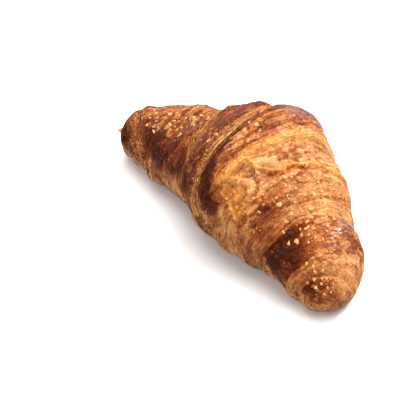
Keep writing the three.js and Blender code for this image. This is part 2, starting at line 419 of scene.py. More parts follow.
# How baked the dough is, from 0, pale, to 1, burnt. turns: each turn's skin on the inner side, and on
# the top and outer side. The angles say between which degrees a change runs. The others are added.
# Some of the added amounts are painted shade in sunk places, as marked below.
baking = {
    "turnAngles": (105, 185),
    "layerAngles": (120, 190),
    "skinAngles": (84, 118),
    "skinWander": 14,
    "baseAngles": (25, 60),
    "turns": (
        (0.74, 0.72), (0.62, 0.5), (0.72, 0.64), (0.56, 0.46), (0.37, 0.25), (0.64, 0.4), (0.55, 0.32),
    ),
    "belly": 0.385,
    "patches": 0.12,
    "streaks": 0.1,
    "base": 0.1,
    "specks": 0.12,
    # the next amount is painted shade in the sunk wrinkles
    "wrinkleShade": 0.1,
    "paleRidge": -0.3,
    "goldenEdge": -0.04,
    # the next amount is painted shade in the blister's sunk crease
    "crease": 0.2,
    "floor": -0.12,
    # the next two amounts are painted shade in the blister's sunk valley and in the line under the
    # ledge's lip
    "valley": 0.25,
    "shadeUnderLedge": 0.2,
    "bubbles": -0.08,
    # the next amount is painted shade in the gaps between the bubbles
    "shadeBetweenBubbles": 0.26,
    "satin": 0.03,
}

# Dark places: a line, its half width and soft rim in mm, and how much baking it adds
bakePatches = (
    (((0.468, 222), (0.484, 200), (0.498, 180), (0.507, 160)), 2.4, 3.4, 0.2),
    (((0.507, 160), (0.512, 142), (0.525, 128)), 2, 4.4, 0.26),
    (((0.545, 128), (0.565, 116), (0.585, 109), (0.598, 103)), 2.6, 3.2, 0.34),
    (((0.5, 164), (0.508, 150)), 2.4, 4, 0.12),
    (((0.12, 138), (0.15, 120), (0.2, 108), (0.26, 100)), 3, 10, 0.15),
    (((0.21, 138), (0.27, 124), (0.33, 115)), 3.4, 11, 0.12),
    (((0.818, 126), (0.822, 140), (0.845, 136)), 2, 11, 0.26),
    (((0.812, 142), (0.812, 168)), 1.6, 4, 0.16),
    (((0.94, 134), (0.95, 152)), 3, 5, 0.2),
    (((0.715, 118), (0.73, 132), (0.735, 142)), 1.2, 4, 0.14),
    (((0.75, 128), (0.755, 145)), 1, 2.5, 0.14),
    (((0.755, 138), (0.745, 150), (0.74, 162)), 1.2, 4, 0.12),
    (((0.86, 138), (0.9, 140), (0.91, 128)), 2, 7, 0.1),
    (((0.63, 205), (0.635, 230)), 1.6, 2.5, 0.1),
    (((0.614, 168), (0.618, 196), (0.619, 216), (0.617, 234)), 1.2, 1.8, 0.17),
    (((0.575, 178), (0.577, 200), (0.577, 224)), 1.6, 3, 0.1),
    (((0.02, 160), (0.04, 130)), 3, 5, 0.16),
    (((0.79, 84), (0.82, 94), (0.86, 100)), 2, 8, 0.2),
)

# The pale shoulder of the third seam
paleRidge = (
    (0.545, 86), (0.514, 102), (0.49, 124), (0.481, 138), (0.474, 150), (0.467, 172), (0.455, 192),
    (0.44, 212), (0.426, 232),
)

# The golden edge of the fourth seam on the upper side
goldenEdge = (
    (0.596, 128), (0.594, 140), (0.596, 156), (0.6, 172), (0.603, 190), (0.604, 210), (0.602, 232),
)

# Pale marks of dried glaze on the upper skin: a line and its half width in mm
paleMarks = (
    (((0.192, 156), (0.206, 152), (0.214, 144)), 0.7),
    (((0.25, 173), (0.272, 168), (0.288, 163)), 0.6),
    (((0.264, 178), (0.272, 170)), 0.5),
    (((0.138, 151), (0.152, 153), (0.162, 149)), 0.4),
    (((0.523, 158), (0.529, 166)), 0.7),
    (((0.532, 150), (0.54, 160)), 0.8),
    (((0.552, 147), (0.558, 155)), 0.6),
)

# Where the glaze is thick and smooth, and shines: a line, its half width and its soft rim in mm
satinMarks = (
    (((0.87, 216), (0.9, 212), (0.93, 207)), 2.5, 6),
    (((0.82, 228), (0.84, 238)), 2, 5),
    (((0.515, 208), (0.55, 222), (0.57, 226)), 2, 6),
    (((0.652, 152), (0.664, 160)), 1, 3),
    (((0.74, 172), (0.765, 168)), 1, 4),
    (((0.28, 150), (0.3, 160)), 1, 4),
)

# Of the lines above, the half width in mm of each ridge, and how uneven it is
ridgeSizes = {
    "rim": (0.62, 0.3),
    "valley": (0.8, 0),
    "fold": (0.8, 0.3),
    "crease": (0.8, 0),
    "ledge": (0.7, 0.5),
    "shadeUnderLedge": (1, 0.4),
    "goldenEdge": (1, 0.5),
}

# Of the patches above, the half width, the soft rim and the unevenness in mm
patchSizes = {
    "bubbles": (2, 2.5, 1.2),
    "flap": (1.1, 0.9, 0.4),
    "floor": (2, 1.8, 0),
    "paleRidge": (1.4, 1.5, 0.6),
}


def edgeBands(share, angle, wander):
    # Of the seams' layers: how much shows, the count of them, the wall they form, how bare they are
    # and how baked
    shown, layer, wall, bare, tone = (np.zeros(share.shape) for _ in range(5))
    shares = seamShares(angle)
    fade = relief["edgeFade"]
    towardsTop = clampedStep(angle, *baking["layerAngles"])
    edgeWander, widthWander = relief["bandWander"]
    span = relief["comesOut"]
    for k, seam in enumerate(seams):
        side = 1 if k < 3 else -1
        across = side * (share - shares[k]) * form["length"] + edgeWander * wander
        width = seam["edge"]
        if k in (2, 3):
            width = np.minimum(width, (shares[3] - shares[2]) * form["edgeRoom"] * form["length"])
        spread = 1 + widthWander * wander
        over = 1 - clampedStep(across, width * spread - 0.4 * fade, width * spread + 0.6 * fade)
        band = clampedStep(across, -seam["band"] * spread - fade, -seam["band"] * spread) * over
        if "from" in seam:
            out = clampedStep(angle, seam["from"] - span, seam["from"] + span)
            band = band * blendTo(0.2, 1, out)
        stronger = band > shown
        layer = np.where(stronger, 40 * k + across / relief["layerPitch"], layer)
        bare = np.where(stronger, seam["bare"], bare)
        tone = np.where(stronger, blendTo(*seam["tone"], towardsTop), tone)
        shown = np.maximum(shown, band)
        wall = np.maximum(wall, clampedStep(across, *relief["wallFrom"]) * over)
    return shown, layer, wall, bare * shown, tone


def turnBake(share, angle):
    # How baked the turn at a point is
    towardsTop = clampedStep(angle, *baking["turnAngles"])
    bakes = [blendTo(*turn, towardsTop) for turn in baking["turns"]]
    total = bakes[0]
    for line, before, after in zip(seamShares(angle), bakes, bakes[1:]):
        total = total + (after - before) * clampedStep(share - line, -0.006, 0.006)
    return total


def ridge(points, width, share, angle, uneven):
    # 1 along a line, with soft sides
    return np.exp(-(((strokeDistance(points, share, angle) + uneven) / width) ** 2))


def patchMask(name, line, share, angle, uneven):
    # 1 within one of the named patches
    width, soft, wander = patchSizes[name]
    return strokeMask(line, width, soft, share, angle, wander * uneven)


def blisterParts(share, angle, small):
    # The parts of the blister, the ledge and the golden edge, each 1 along its line
    def along(name, line):
        width, uneven = ridgeSizes[name]
        return ridge(line, width, share, angle, uneven * small)

    parts = {name: along(name, blister[name]) for name in ("valley", "fold", "crease")}
    parts["rim"] = np.maximum.reduce([along("rim", line) for line in blister["rims"]])
    for name in ("flap", "floor"):
        parts[name] = patchMask(name, blister[name], share, angle, small)
    parts["ledge"] = along("ledge", ledgeLine)
    # The sunk line just beyond the ledge, where painted shadow lies under its lip
    parts["shadeUnderLedge"] = along("shadeUnderLedge", [(s + 0.011, a) for s, a in ledgeLine])
    parts["goldenEdge"] = along("goldenEdge", goldenEdge)
    return parts


def fineRelief(share, angle, plain):
    # Everything finer than the solid's own shape, and the maps that the crust's finish reads
    turnPlace = turnPlaceOf(share, angle)
    slow, medium, small = (noiseAt(plain, *setting) for setting in bodyNoises)
    folds, streak, fineStreak = (noiseAt(turnPlace, *setting) for setting in turnNoises)
    shown, layer, wall, bare, tone = edgeBands(share, angle, slow + 0.15 * medium)
    layer = layer + 0.15 * fineStreak
    above = np.minimum(angle, 360 - angle)
    top = clampedStep(above + baking["skinWander"] * slow, *baking["skinAngles"])

    # Layers, wraps and crackled crust
    part = layer - np.floor(layer)
    height = (relief["edgeStep"] * wall + relief["bandStep"] * shown) * (part - 0.5 + 0.3 * fineStreak)
    height += relief["wrap"] * (1.7 - 0.7 * top) * (streak + 0.8 * fineStreak)
    height += relief["crust"] * medium * (0.6 + 0.4 * top)
    height += relief["crackle"] * small * (1.2 - 0.2 * top) * (1 - 0.7 * shown)
    wrinkle = np.exp(-((folds / 0.07) ** 2)) * (1 - shown) * (0.3 + 0.7 * top)
    height -= relief["wrinkle"] * wrinkle

    # Bubbles, the ledge and the blister
    bubbly = patchMask("bubbles", bubbleLine, share, angle, medium)
    cells = cellsAt(plain, *bubbleCells)
    height += relief["bubble"] * bubbly * (0.55 - cells)
    parts = blisterParts(share, angle, small)
    rim, flap, floor = parts["rim"], parts["flap"], parts["floor"]
    height += relief["ledgeLip"] * (parts["ledge"] - 0.7 * parts["shadeUnderLedge"])
    height += relief["rim"] * rim + relief["flap"] * flap
    height -= relief["hollow"] * (floor * (1 - rim) * (1 - flap) + 0.8 * parts["valley"])
    height += relief["fold"] * parts["fold"] - relief["crease"] * parts["crease"]
    height += relief["goldenEdge"] * parts["goldenEdge"]

    # How baked it is, first the skin and then the layers that show, with painted shade in the sunk
    # wrinkles, in the blister's crease and valley, under the ledge and between the bubbles
    bake = blendTo(baking["belly"], turnBake(share, angle), top)
    bake += baking["patches"] * slow + baking["streaks"] * np.maximum(streak, 0)
    bake += baking["base"] * (1 - clampedStep(above, *baking["baseAngles"]))
    for line, width, soft, added in bakePatches:
        bake += added * strokeMask(line, width, soft, share, angle, 2.8 * medium + 2.2 * small)
    # Specks of baking, and painted shade in the sunk wrinkles
    bake += baking["specks"] * np.maximum(small, 0) * top + baking["wrinkleShade"] * wrinkle
    bake = blendTo(bake, tone + 0.1 * medium, 0.8 * shown)
    bake += baking["paleRidge"] * patchMask("paleRidge", paleRidge, share, angle, medium)
    # Painted shade in the crease, the valley and under the ledge; the floor and the golden edge are
    # paler
    for name in ("crease", "floor", "valley", "shadeUnderLedge", "goldenEdge"):
        bake += baking[name] * parts[name]
    # The bubbly patch is a little paler, with painted shade in the gaps between its bubbles
    bake += bubbly * (baking["bubbles"] + baking["shadeBetweenBubbles"] * clampedStep(cells, 0.4, 0.7))

    # Pale bubbles, rims and marks, and satin places. The pale bubble tops are painted light, and the
    # pale on the rims is painted highlight.
    paintedLightOnBubbles = 0.95 * bubbly * np.clip(0.7 + medium - cells, 0, 1)
    # Painted light on the bubble tops, the pale flap, and painted highlights on the rims
    light = np.maximum.reduce((paintedLightOnBubbles, flap * (0.3 + 0.7 * (share > 0.635)), 0.45 * rim**2))
    for line, width in paleMarks:
        mask = strokeMask(line, width, 0.5, share, angle, 1.6 * small + medium)
        light = np.maximum(light, mask)
        height += relief["paleMark"] * mask
    satin = np.zeros(share.shape)
    for line, width, soft in satinMarks:
        satin = np.maximum(satin, strokeMask(line, width, soft, share, angle, 1.6 * medium))
    bake += baking["satin"] * satin
    amber = (rim, 0.6 * flap, 0.7 * parts["fold"], 0.55 * floor, 0.7 * parts["ledge"])
    maps = {
        # bake: how baked the dough is, with the painted shade in sunk places
        "bake": np.clip(bake, 0, 1),
        "layerShown": shown,
        "layer": layer,
        "amber": np.maximum.reduce((*amber, 0.45 * parts["goldenEdge"])),
        "satin": satin,
        # light: the pale flap and glaze marks, painted light on the bubble tops and painted highlights
        # on the rims
        "light": light,
        "glazed": np.clip(top * (1 - bare) * (1 - 0.5 * bubbly), 0, 1),
    }
    return height, maps, turnPlace


def setMap(piece, name, values):
    # A value or a place for each corner, for the finish
    kind, key = ("FLOAT", "value") if values.ndim == 1 else ("FLOAT_VECTOR", "vector")
    layer = piece.data.attributes.new(name, kind, "POINT")
    layer.data.foreach_set(key, values.ravel())


def madeSmooth(bm, name):
    for face in bm.faces:
        face.smooth = True
    mesh = bpy.data.meshes.new(name)
    bm.to_mesh(mesh)
    bm.free()
    piece = bpy.data.objects.new(name, mesh)
    scene.collection.objects.link(piece)
    return piece


def pointOn(laid, share, angle):
    # The point of the finished dough at a share and angle, in metres, and its baking
    shares, points, bake, angles = laid
    step = int(np.argmin(abs(angles - angle)))
    ring = int(np.clip(np.searchsorted(shares[:, step], share), 1, len(shares) - 1))
    before, after = shares[ring - 1, step], shares[ring, step]
    t = (share - before) / max(after - before, 1e-9)
    return Vector(blendTo(points[ring - 1, step], points[ring, step], t)) * mm, float(bake[ring, step])


def makeDough():
    share, angle, height = layRings()
    plain = surfacePoint(share, angle, height)
    fine, maps, turnPlace = fineRelief(share, angle, plain)
    points = surfacePoint(share, angle, height + fine)
    points[..., 2] = np.maximum(points[..., 2], 0)

    rings = share.shape[0] - 1
    bm = bmesh.new()
    bmesh.ops.create_uvsphere(bm, u_segments=form["steps"], v_segments=rings, radius=1)
    order = []
    for vert in bm.verts:
        ring = round(math.acos(max(-1, min(1, vert.co.z))) / math.pi * rings)
        turn = math.atan2(vert.co.y, vert.co.x) / (2 * math.pi)
        step = 0 if ring in (0, rings) else round(turn * form["steps"]) % form["steps"]
        vert.co = Vector(points[ring, step]) * mm
        order.append(ring * form["steps"] + step)
    bmesh.ops.recalc_face_normals(bm, faces=bm.faces)
    piece = madeSmooth(bm, "dough")
    for name, values in maps.items():
        setMap(piece, name, values.ravel()[order])
    setMap(piece, "turnPlace", turnPlace.reshape(-1, 3)[order])
    print("dough:", len(piece.data.polygons), "faces")
    return piece, (share, points, maps["bake"], angle[0])


# Baked sugar lies in loose clusters. at and angle: the middle. spread: mm. count: grains.
sugar = {
    "clusters": rows(
        "at angle spread count",
        (0.1, 165, 4, 5),
        (0.17, 162, 6, 9),
        (0.235, 158, 6, 10),
        (0.28, 176, 4, 5),
        (0.4, 152, 6, 8),
        (0.535, 170, 6, 5),
        (0.725, 190, 6, 12),
        (0.73, 165, 5, 6),
        (0.72, 138, 3, 3),
        (0.825, 158, 6, 12),
        (0.835, 188, 7, 12),
        (0.955, 146, 5, 14),
    ),
    "size": (0.8, 1.5),
    "shape": (1.05, 0.85, 0.78),
    "rise": 0.45,
    "rough": 0.8,
    "gap": 0.4,
    "seed": 7,
}


def numberStream(seed):
    # The same numbers from 0 to 1 on every run
    state = seed
    while True:
        state = (state * 16807) % 2147483647
        yield state / 2147483647


def onTheSurface(share, angle):
    # A single point of the plain surface, in mm
    share, angle = float(share), np.array(float(angle))
    for start, end, rings, height in stretches(angle):
        if share <= end:
            break
    return surfacePoint(np.array(share), angle, height((share - start) / (end - start)))


def sugarPlaces():
    # Where the grains lie, their radii in mm and their turns
    draw = numberStream(sugar["seed"])
    placed = []
    for cluster in sugar["clusters"]:
        made = tries = 0
        while made < cluster["count"] and tries < 20 * cluster["count"]:
            tries += 1
            away = cluster["spread"] * math.sqrt(next(draw)) * 1.3
            towards = next(draw) * 2 * math.pi
            size = blendTo(*sugar["size"], next(draw) ** 2)
            turn = next(draw) * math.pi
            share = cluster["at"] + away * math.cos(towards) / form["length"]
            angle = cluster["angle"] + away * math.sin(towards) / float(mmPerDegree(share))
            place = Vector(onTheSurface(share, angle))
            clear = size + sugar["gap"]
            if all((other - place).length > near + clear for other, near, turned in placed):
                placed.append((place, size, turn))
                made += 1
    return placed


# The maps that the crust's finish reads on loose pieces, apart from how baked they are
loosePieces = {"layerShown": 0, "layer": 0, "amber": 0.03, "light": 0.05, "glazed": 0.6, "satin": 0}

# Thin flakes that have lifted along the seams. Lengths and lifts in mm.
flakes = {
    "perSeam": (60, 150, 170, 24, 40, 20),
    "angles": (64, 258),
    "shares": (0.02, 0.98),
    "length": (3, 11),
    "width": (0.22, 0.62),
    "lift": (0.12, 0.55),
    "bake": (-0.3, 0.2),
    "steps": 8,
    "seed": 23,
}

# Small crumbs of crust on the upper side, thicker in some places
crumbs = {
    "tries": 3600,
    "shares": (0.07, 0.985),
    "angles": (112, 238),
    "size": (0.2, 0.55),
    "clumps": 9,
    "thickness": 0.1,
    "shape": (1.3, 1, 0.7),
    "rise": 0.2,
    "rough": 0.6,
    "bake": (-0.3, 0.2),
    "seed": 41,
}


def setMaps(piece, items, corners):
    # What the crust's finish reads, the same over the whole of each small shape
    for name in ("bake", *loosePieces):
        values = [(loosePieces | item)[name] for item in items]
        setMap(piece, name, np.repeat(np.array(values, np.float32), corners))
    share, angle = (np.array([item[name] for item in items]) for name in ("share", "angle"))
    setMap(piece, "turnPlace", np.repeat(turnPlaceOf(share, angle), corners, axis=0))


def makeCopies(name, makeOne, items):
    # One piece that holds a copy of a small shape for each item, moved as the item says
    bm = bmesh.new()
    makeOne(bm)
    corners = len(bm.verts)
    one = bpy.data.meshes.new("one")
    bm.to_mesh(one)
    for _ in items[1:]:
        bm.from_mesh(one)
    bpy.data.meshes.remove(one)
    for number, vert in enumerate(bm.verts):
        vert.co = items[number // corners]["moved"](vert.co)
    bmesh.ops.recalc_face_normals(bm, faces=bm.faces)
    piece = madeSmooth(bm, name)
    if "bake" in items[0]:
        setMaps(piece, items, corners)
    print(name + ":", len(items), "pieces,", len(piece.data.polygons), "faces")
    return piece


def makeBall(bm, subdivisions=2):
    bmesh.ops.create_icosphere(bm, subdivisions=subdivisions, radius=1)


# A strip of skin on the dough. sunk: how far its lower edge is in it, in mm. middle: its rise halfway.
strip = {"sunk": 0.12, "middle": 0.6, "endRise": 0.4, "taper": 0.6, "rough": 0.4, "roughSize": 2.5}


def stripMoved(surface, laid, places, width, lift):
    # How a flat grid becomes a strip along a line: one edge lies on the dough, the other stands up
    steps = len(places) - 1
    found = [surface.find_nearest(pointOn(laid, share, angle)[0])[:2] for share, angle in places]
    rises = (-strip["sunk"], strip["middle"] * lift, lift)

    def moved(place):
        step, row = round((place.x + 1) / 2 * steps), round(place.y + 1)
        t = 2 * step / steps - 1
        at, out = found[step]
        tangent = (found[min(step + 1, steps)][0] - found[max(step - 1, 0)][0]).normalized()
        aside = out.cross(tangent).normalized()
        rough = 1 + strip["rough"] * noise.noise(at / mm / strip["roughSize"])
        size = max(1 - t * t, 0) ** strip["taper"] * rough
        rise = rises[row] * blendTo(strip["endRise"], 1, size)
        return at + (aside * width * (row - 1) * size + out * rise) * mm

    return moved


def stripMaker(steps):
    return lambda bm: bmesh.ops.create_grid(bm, x_segments=steps, y_segments=2, size=1)


def flakeItem(surface, laid, draw, k):
    seam, side = seams[k], 1 if k < 3 else -1
    middle = blendTo(*flakes["angles"], next(draw))
    across = blendTo(-seam["band"] - 1, seam["edge"], next(draw))
    drift = blendTo(-1, 1, next(draw))
    lift = blendTo(*flakes["lift"], next(draw) ** 2)
    width = blendTo(*flakes["width"], next(draw))

    def shareAt(angle, aside):
        # aside: mm out from the seam
        share = throughPairs(seam["line"], angle) + side * aside / form["length"]
        return float(np.clip(share, *flakes["shares"]))

    share = shareAt(middle, across)
    reach = blendTo(*flakes["length"], next(draw) ** 1.6) / 2 / float(mmPerDegree(share))
    steps = np.linspace(-1, 1, flakes["steps"] + 1)
    places = [(shareAt(middle + reach * t, across + drift * t), middle + reach * t) for t in steps]
    moved = stripMoved(surface, laid, places, width, lift)
    bake = seam["tone"][0] + blendTo(*flakes["bake"], next(draw))
    return {"moved": moved, "share": share, "angle": middle, "bake": bake}


def makeFlakes(surface, laid):
    draw = numberStream(flakes["seed"])
    items = []
    for k, count in enumerate(flakes["perSeam"]):
        items += [flakeItem(surface, laid, draw, k) for _ in range(count)]
    return makeCopies("flakes", stripMaker(flakes["steps"]), items)


# The torn edges of the blister and of the ledge, which stand up. Sizes in mm.
tornEdges = {
    "strips": (
        {"line": blister["rims"][0], "width": 0.55, "lift": 0.7},
        {"line": blister["rims"][1], "width": 0.5, "lift": 0.6},
        {"line": blister["rims"][2], "width": -0.5, "lift": 0.5},
        {"line": blister["flap"], "width": -0.8, "lift": 0.6},
        {"line": blister["fold"], "width": 0.4, "lift": 0.5},
        {"line": ledgeLine, "width": 0.55, "lift": 0.35},
    ),
    "steps": 60,
    "maps": {"bake": 0.2, "amber": 0.8, "light": 0.25, "glazed": 1},
}


def makeTornEdges(surface, laid):
    items = []
    for edge in tornEdges["strips"]:
        line = np.array(edge["line"], float)
        gaps = np.hypot(np.diff(line[:, 0]) * form["length"], np.diff(line[:, 1]) * 0.6)
        length = np.concatenate(([0], np.cumsum(gaps)))
        at = np.linspace(0, length[-1], tornEdges["steps"] + 1)
        places = list(zip(np.interp(at, length, line[:, 0]), np.interp(at, length, line[:, 1])))
        moved = stripMoved(surface, laid, places, edge["width"], edge["lift"])
        share, angle = places[len(places) // 2]
        items.append({"moved": moved, "share": share, "angle": angle} | tornEdges["maps"])
    return makeCopies("tornEdges", stripMaker(tornEdges["steps"]), items)


def lumpItem(at, out, sizes, turn, rise, rough):
    # How the corners of a ball of radius 1 move to a rough grain on the surface
    spin = out.to_track_quat("Z", "X") @ Quaternion((0, 0, 1), turn)
    middle = at + out * rise * mm
    matrix = Matrix.LocRotScale(middle, spin, Vector(sizes) * mm)
    shift = Vector((9 * turn, 5 * sizes[0], 5 * sizes[1]))

    def moved(place):
        there = matrix @ place
        spot = place * 1.2 + shift
        uneven = noise.noise(spot) + 0.7 * noise.noise(spot * 2.4)
        return there + (there - middle) * rough * uneven

    return {"moved": moved}


def grainItem(found, grain, size, turn):
    # A grain of sugar or a crumb, from its settings and its size in mm
    at, out = found[:2]
    sizes = [size * share for share in grain["shape"]]
    return lumpItem(at, out, sizes, turn, grain["rise"] * size, grain["rough"])


def makeSugar(surface):
    items = []
    for place, size, turn in sugarPlaces():
        items.append(grainItem(surface.find_nearest(place * mm), sugar, size, turn))
    return makeCopies("sugar", makeBall, items)


def makeCrumbs(surface, laid):
    draw = numberStream(crumbs["seed"])
    items = []
    for _ in range(crumbs["tries"]):
        share = blendTo(*crumbs["shares"], next(draw))
        angle = blendTo(*crumbs["angles"], next(draw))
        size = blendTo(*crumbs["size"], next(draw) ** 2)
        turn, bake = next(draw) * math.pi, blendTo(*crumbs["bake"], next(draw))
        place, below = pointOn(laid, share, angle)
        if noise.noise(place / mm / crumbs["clumps"]) < crumbs["thickness"]:
            continue
        item = grainItem(surface.find_nearest(place), crumbs, size, turn)
        items.append(item | {"share": share, "angle": angle, "bake": below + bake})
    return makeCopies("crumbs", makeBall, items)


# The scrap of golden dough that sticks out of the first tip
scrap = {
    "share": 0.016, "angle": 125, "wide": 1.9, "thick": 1, "reach": 2.6, "sunk": 0.4,
    "rough": 0.25, "bake": 0.1, "amber": 1,
}


def makeScrap(surface, laid):
    place, below = pointOn(laid, scrap["share"], scrap["angle"])
    at, out = surface.find_nearest(place)[:2]
    sizes = (scrap["wide"], scrap["thick"], scrap["reach"])
    item = lumpItem(at, out, sizes, 0, scrap["reach"] * scrap["sunk"], scrap["rough"])
    item |= {name: scrap[name] for name in ("share", "angle", "bake", "amber")}
    return makeCopies("scrap", lambda bm: makeBall(bm, 4), [item])


def colour(red, green, blue):
    # A screen colour from 0 to 255 as the linear colour that shaders take
    def linear(value):
        value /= 255
        return value / 12.92 if value <= 0.04045 else ((value + 0.055) / 1.055) ** 2.4

    return linear(red), linear(green), linear(blue), 1


def setInputs(tree, node, inputs):
    for name, value in inputs.items():
        if isinstance(value, bpy.types.NodeSocket):
            tree.links.new(value, node.inputs[name])
        else:
            node.inputs[name].default_value = value


def addNode(tree, kind, inputs=None, **settings):
    node = tree.nodes.new(kind)
    for name, value in settings.items():
        setattr(node, name, value)
    setInputs(tree, node, inputs or {})
    return node


def addNoise(tree, place, scale, detail, roughness=0.5):
    inputs = {"Vector": place, "Scale": scale, "Detail": detail, "Roughness": roughness}
    return addNode(tree, "ShaderNodeTexNoise", inputs).outputs


def addMath(tree, operation, first, second=0.0, third=0.0, clamp=False):
    node = addNode(tree, "ShaderNodeMath", {0: first, 1: second, 2: third}, operation=operation)
    node.use_clamp = clamp
    return node.outputs[0]


def addMix(tree, amount, first, second):
    inputs = {0: amount, 6: first, 7: second}
    return addNode(tree, "ShaderNodeMix", inputs, data_type="RGBA").outputs[2]


def addRamp(tree, factor, stops):
    node = addNode(tree, "ShaderNodeValToRGB", {"Fac": factor})
    elements = node.color_ramp.elements
    while len(elements) < len(stops):
        elements.new(0.5)
    for element, (position, shade) in zip(elements, stops):
        element.position = position
        element.color = shade
    return node.outputs["Color"]


def addGroup(name, takes, gives):
    # An empty shader group with its named inputs and outputs: Place is a vector, the others numbers
    tree = bpy.data.node_groups.new(name, "ShaderNodeTree")
    for way, titles in (("INPUT", takes), ("OUTPUT", gives)):
        for title in titles:
            kind = "NodeSocketVector" if title == "Place" else "NodeSocketFloat"
            tree.interface.new_socket(title, in_out=way, socket_type=kind)
    start = tree.nodes.new("NodeGroupInput")
    end = tree.nodes.new("NodeGroupOutput")
    return tree, start.outputs, end.inputs


def makeUnevenGroup():
    # Noise in two sizes, for uneven baking and grain: about 0 to 1
    tree, given, result = addGroup("unevenBake", ("Place", "Scale", "Fine"), ("Value",))
    large = addNoise(tree, given["Place"], given["Scale"], 3.0, 0.6)["Fac"]
    finer = addMath(tree, "MULTIPLY", given["Scale"], 3.7)
    grain = addNoise(tree, given["Place"], finer, 2.0, 0.6)["Fac"]
    spread = addMath(tree, "SUBTRACT", grain, 0.5)
    total = addMath(tree, "MULTIPLY_ADD", spread, given["Fine"], large)
    tree.links.new(total, result["Value"])
    return tree


def makeVeinGroup():
    # Thin wandering lines where a noise crosses its middle, as a glaze wrinkles: 1 on the lines
    tree, given, result = addGroup("glazeVeins", ("Place", "Scale", "Width"), ("Lines",))
    wave = addNoise(tree, given["Place"], given["Scale"], 3.0, 0.55)["Fac"]
    away = addMath(tree, "ABSOLUTE", addMath(tree, "SUBTRACT", wave, 0.5))
    near = addMath(tree, "DIVIDE", away, given["Width"], clamp=True)
    tree.links.new(addMath(tree, "SUBTRACT", 1.0, near), result["Lines"])
    return tree


def makePlateGroup():
    # Flaky plates of skin: a tone of its own for each, and thin edges between them
    tree, given, result = addGroup("flakyPlates", ("Place", "Scale"), ("Tone", "Edge"))
    bend = addNoise(tree, given["Place"], given["Scale"], 2.0)["Color"]

    def addVectorMath(operation, inputs):
        return addNode(tree, "ShaderNodeVectorMath", inputs, operation=operation).outputs[0]

    away = addVectorMath("SUBTRACT", {0: bend, 1: (0.5, 0.5, 0.5)})
    reach = addMath(tree, "DIVIDE", 1.4, given["Scale"])
    away = addVectorMath("SCALE", {0: away, "Scale": reach})
    inputs = {"Vector": addVectorMath("ADD", {0: given["Place"], 1: away}), "Scale": given["Scale"]}
    smooth = inputs | {"Smoothness": 0.25}
    cells = addNode(tree, "ShaderNodeTexVoronoi", smooth, feature="SMOOTH_F1")
    edges = addNode(tree, "ShaderNodeTexVoronoi", inputs, feature="DISTANCE_TO_EDGE")
    tone = addNode(tree, "ShaderNodeSeparateColor", {"Color": cells.outputs["Color"]})
    tree.links.new(tone.outputs[0], result["Tone"])
    near = addMath(tree, "DIVIDE", edges.outputs["Distance"], 0.16, clamp=True)
    tree.links.new(addMath(tree, "SUBTRACT", 1.0, near), result["Edge"])
    return tree


def makeLayerGroup():
    # The layers of a cut edge: a tone of its own for each, and the gap under it, which the crust
    # darkens with painted shade
    tree, given, result = addGroup("layeredEdge", ("Layer", "Wobble", "Gap Width"), ("Tone", "Gap"))
    bent = addMath(tree, "ADD", given["Layer"], given["Wobble"])
    whole = {"W": addMath(tree, "FLOOR", bent)}
    tone = addNode(tree, "ShaderNodeTexWhiteNoise", whole, noise_dimensions="1D")
    above = addMath(tree, "DIVIDE", addMath(tree, "FRACT", bent), given["Gap Width"], clamp=True)
    tree.links.new(tone.outputs["Value"], result["Tone"])
    tree.links.new(addMath(tree, "SUBTRACT", 1.0, above), result["Gap"])
    return tree


def newMaterial(name):
    material = bpy.data.materials.new(name)
    material.use_nodes = True
    tree = material.node_tree
    shader = tree.nodes["Principled BSDF"]
    return material, tree, shader


# Baking runs from 0, pale dough, to 1, burnt. The glazed skin is redder than the bare dough.
# bakes and bumps: what each unevenness adds to the baking and to the bump's height. medium and grain
# add their first number on bare dough and their second on glazed skin.
crust = {
    "glazed": (
        (0.0, colour(230, 186, 124)),
        (0.2, colour(222, 162, 98)),
        (0.4, colour(196, 122, 66)),
        (0.56, colour(150, 73, 30)),
        (0.74, colour(106, 40, 13)),
        (1.0, colour(60, 21, 8)),
    ),
    "bare": (
        (0.0, colour(232, 184, 126)),
        (0.25, colour(204, 149, 92)),
        (0.5, colour(162, 100, 56)),
        (0.75, colour(100, 53, 27)),
        (1.0, colour(50, 22, 11)),
    ),
    "amber": colour(252, 158, 54),
    # the next colour is pale dough, and also the painted light on the bubble tops and the painted
    # highlights on the rims
    "light": colour(250, 190, 132),
    # the next colour is for painted glints: pale specks in place of highlights on the glaze
    "fleck": colour(220, 150, 96),
    "tints": {"amber": 0.75, "light": 0.8, "fleck": 0.55},
    "medium": (0.62, 0.52),
    "grain": (0.4, 0.3),
    "bakes": {
        "patches": 0.34, "streaks": 0.4, "veins": 0.05, "pits": 0.4, "plates": 0.26, "plateEdges": 0.04,
        # gaps: painted shade in the gap under each layer of a cut edge
        "layers": 0.22, "gaps": 0.18,
    },
    "bumps": {
        "streaks": 0.8, "flecks": 0.4, "pits": -0.5, "plates": 0.5, "plateEdges": -0.2, "veins": -0.3,
        "gaps": -0.4,
    },
    "roughness": {"glazed": 0.3, "bare": 0.66, "uneven": 0.3},
    "coat": {"everywhere": 0.08, "satin": 0.8},
    "sheen": {
        "Coat Roughness": 0.22, "Specular IOR Level": 0.2, "Specular Tint": colour(255, 200, 156),
    },
    "bump": {"Strength": 1.0, "Distance": 0.0015},
}


